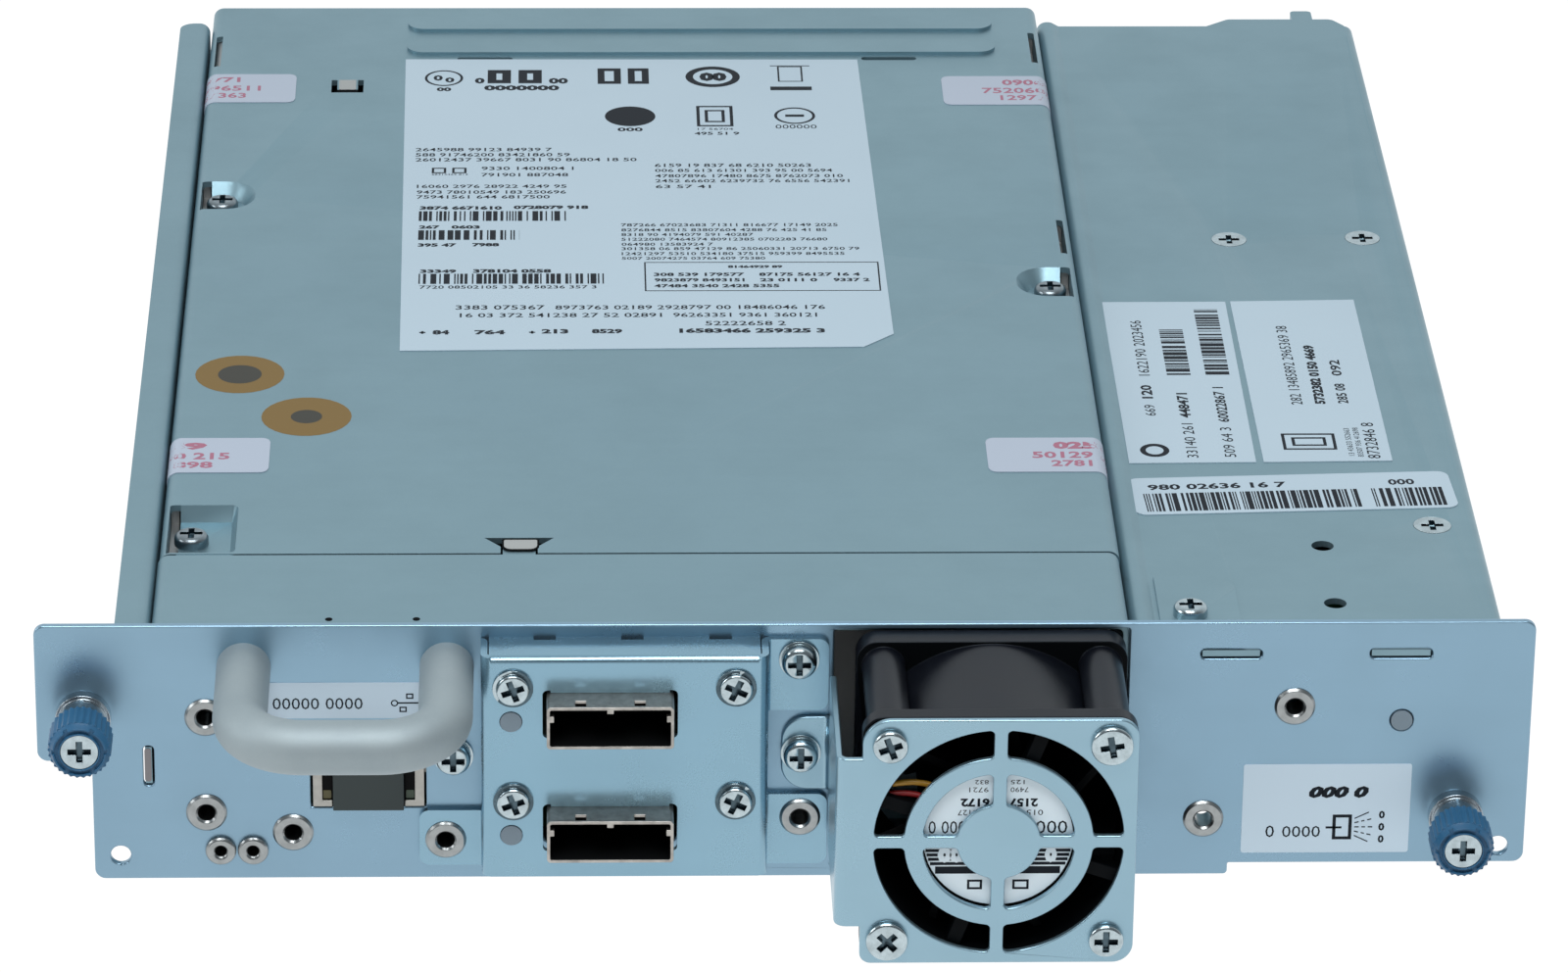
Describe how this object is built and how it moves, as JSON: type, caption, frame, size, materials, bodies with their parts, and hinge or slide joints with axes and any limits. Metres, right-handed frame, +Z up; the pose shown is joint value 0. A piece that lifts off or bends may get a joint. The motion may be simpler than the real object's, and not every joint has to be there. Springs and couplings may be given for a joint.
{
  "type": "data tape drive",
  "caption": "Half-height data tape drive on a slide-in sheet-metal sled with connector panel, two cable ports, cooling fan, pull handle and captive screws.",
  "frame": {"origin": "middle of the box's underside: the panel stands across -Y, the tape mouth opens towards +Y", "axes": "+X to the right as seen from the panel side, +Y from the panel to the tape mouth, +Z up"},
  "size_m": [0.2216, 0.2806, 0.0422],
  "materials": {
    "zinc_plate": "zinc-plated sheet, satin",
    "panel_zinc": "blue-passivated zinc, satin",
    "insert_steel": "plated steel",
    "nickel_plate": "bright nickel",
    "screw_steel": "bright zinc",
    "spring_steel": "spring wire",
    "handle_aluminium": "satin bead-blasted",
    "knob_blue": "moulded, fine gloss",
    "fan_black": "moulded, slight sheen",
    "contact_black": "moulded",
    "bearing_steel": "ground",
    "motor_copper": "wound",
    "light_clear": "clear grey",
    "plug_grey": "moulded",
    "cast_aluminium": "die-cast",
    "deck_steel": "bright",
    "board_green": "solder mask"
  },
  "bodies": {
    "sled": {"bay_cover": "zinc_plate", "board_standoffs": "insert_steel", "clinch_inserts": "insert_steel", "cover_screws": "screw_steel", "dock_connector": "contact_black", "drive_base": "cast_aluminium", "drive_cover": "zinc_plate", "drive_screws": "screw_steel", "fan_bearings": "bearing_steel", "fan_bracket": "panel_zinc", "fan_frame": "fan_black", "fan_screws": "screw_steel", "fan_stator": "motor_copper", "handle_screws": "screw_steel", "jack_board": "board_green", "jack_insert": "contact_black", "left_ferrule": "nickel_plate", "lid_screws": "screw_steel", "lid_standoffs": "insert_steel", "light_pipes": "light_clear", "lower_port_cage": "nickel_plate", "lower_port_contacts": "contact_black", "main_board": "board_green", "network_jack": "nickel_plate", "panel_screws": "screw_steel", "port_board": "board_green", "port_bracket": "panel_zinc", "port_screws": "screw_steel", "pull_handle": "handle_aluminium", "rear_panel": "panel_zinc", "right_ferrule": "nickel_plate", "side_board": "board_green", "side_cover": "zinc_plate", "sled_tray": "zinc_plate", "small_inserts": "insert_steel", "supply_motor": "motor_copper", "takeup_motor": "motor_copper", "tape_deck": "deck_steel", "upper_port_cage": "nickel_plate", "upper_port_contacts": "contact_black"},
    "fan_rotor_body": {"fan_rotor": "fan_black"},
    "left_spring_body": {"left_spring": "spring_steel"},
    "left_screw_body": {"left_knob": "knob_blue", "left_captive_screw": "screw_steel"},
    "right_spring_body": {"right_spring": "spring_steel"},
    "right_screw_body": {"right_knob": "knob_blue", "right_captive_screw": "screw_steel"},
    "dust_plug_body": {"dust_plug": "plug_grey"},
    "cradle_body": {"tape_cradle": "contact_black"},
    "loader_gear_body": {"loader_gear": "plug_grey"},
    "takeup_reel_body": {"takeup_reel": "plug_grey"},
    "supply_clutch_body": {"supply_clutch": "plug_grey"},
    "roller_1_body": {"guide_roller_1": "bearing_steel"},
    "roller_2_body": {"guide_roller_2": "bearing_steel"},
    "roller_3_body": {"guide_roller_3": "bearing_steel"},
    "roller_4_body": {"guide_roller_4": "bearing_steel"},
    "head_body": {"tape_head": "cast_aluminium"},
    "threader_body": {"threader_arm": "plug_grey"}
  },
  "joints": [
    {"name": "fan_spin", "type": "hinge", "parent": "sled", "child": "fan_rotor_body", "pos_m": [0.0301, -0.1238, 0.0212], "axis": [0, 1, 0], "continuous": true},
    {"name": "left_screw_turn", "type": "hinge", "parent": "sled", "child": "left_spring_body", "pos_m": [-0.1038, -0.1098, 0.0275], "axis": [0, 1, 0], "continuous": true},
    {"name": "left_screw_push", "type": "slide", "parent": "left_spring_body", "child": "left_screw_body", "axis": [0, 1, 0], "range_m": [0, 0.0034], "stiffness_N_per_m": 250, "springref_m": -0.003, "deforming": ["left_spring"]},
    {"name": "right_screw_turn", "type": "hinge", "parent": "sled", "child": "right_spring_body", "pos_m": [0.1002, -0.1098, 0.0101], "axis": [0, 1, 0], "continuous": true},
    {"name": "right_screw_push", "type": "slide", "parent": "right_spring_body", "child": "right_screw_body", "axis": [0, 1, 0], "range_m": [0, 0.0034], "stiffness_N_per_m": 250, "springref_m": -0.003, "deforming": ["right_spring"]},
    {"name": "dust_plug_pull", "type": "slide", "parent": "sled", "child": "dust_plug_body", "axis": [0, -1, 0], "range_m": [0, 0.02]},
    {"name": "cradle_slide", "type": "slide", "parent": "sled", "child": "cradle_body", "axis": [0, -1, 0], "range_m": [0, 0.019]},
    {"name": "loader_gear_turn", "type": "hinge", "parent": "sled", "child": "loader_gear_body", "pos_m": [-0.0839, 0.0705, 0.021], "axis": [0, 0, 1], "range_deg": [-181.5, 0]},
    {"name": "takeup_spin", "type": "hinge", "parent": "sled", "child": "takeup_reel_body", "pos_m": [-0.048, -0.0318, 0.0206], "axis": [0, 0, 1], "continuous": true},
    {"name": "supply_spin", "type": "hinge", "parent": "sled", "child": "supply_clutch_body", "pos_m": [-0.0213, 0.0609, 0.0145], "axis": [0, 0, 1], "continuous": true},
    {"name": "roller_1_spin", "type": "hinge", "parent": "sled", "child": "roller_1_body", "pos_m": [0.038, 0.0052, 0.0206], "axis": [0, 0, 1], "continuous": true},
    {"name": "roller_2_spin", "type": "hinge", "parent": "sled", "child": "roller_2_body", "pos_m": [0.038, -0.0108, 0.0206], "axis": [0, 0, 1], "continuous": true},
    {"name": "roller_3_spin", "type": "hinge", "parent": "sled", "child": "roller_3_body", "pos_m": [0.0375, -0.0478, 0.0206], "axis": [0, 0, 1], "continuous": true},
    {"name": "roller_4_spin", "type": "hinge", "parent": "sled", "child": "roller_4_body", "pos_m": [0.014, -0.0638, 0.0206], "axis": [0, 0, 1], "continuous": true},
    {"name": "head_step", "type": "slide", "parent": "sled", "child": "head_body", "axis": [0, 0, 1], "range_m": [-0.003, 0.003]},
    {"name": "threader_swing", "type": "hinge", "parent": "sled", "child": "threader_body", "pos_m": [0.004, -0.0098, 0.0374], "axis": [0, 0, 1], "range_deg": [-150, 0]}
  ],
  "couplings": [
    {"joint": "loader_gear_turn", "follows": "cradle_slide", "rad_per_m": -166.67}
  ]
}
